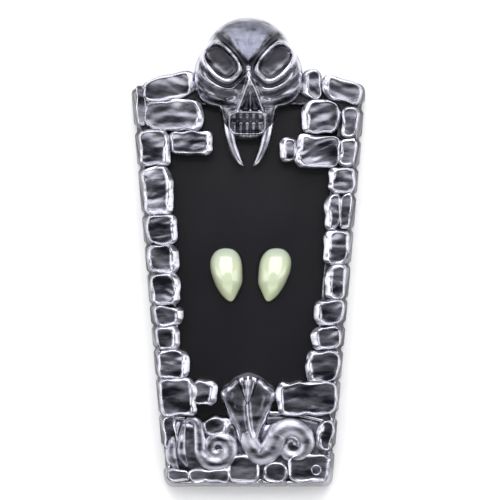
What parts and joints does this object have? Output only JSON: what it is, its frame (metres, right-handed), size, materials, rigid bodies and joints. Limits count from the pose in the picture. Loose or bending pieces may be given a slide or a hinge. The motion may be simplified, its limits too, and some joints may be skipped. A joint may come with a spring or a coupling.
{
  "type": "pair of vampire fang caps in a coffin-shaped display case",
  "caption": "Two hollow canine fang caps seated in a black panel inside a coffin-shaped case whose silvered frame is moulded as stone blocks with a skull above and a serpent below",
  "frame": {"origin": "under the middle of the case's bounding box, on the flat back that it rests on", "axes": "+X across the front to its right side, +Y from the foot of the case to the skull, +Z out of the front"},
  "size_m": [0.059, 0.118, 0.0187],
  "materials": {
    "black_plastic": "matt moulded black plastic",
    "black_panel": "smooth black plastic, softly glossy",
    "silvered_plastic": "vacuum-metallised moulded plastic, dark faces and bright worn edges",
    "tooth_acrylic": "polished pale green-ivory dental acrylic"
  },
  "bodies": {
    "root": {"back_plate": "black_plastic", "display_panel": "black_panel", "front_frame": "silvered_plastic", "fang_left": "tooth_acrylic", "fang_right": "tooth_acrylic"}
  },
  "joints": []
}
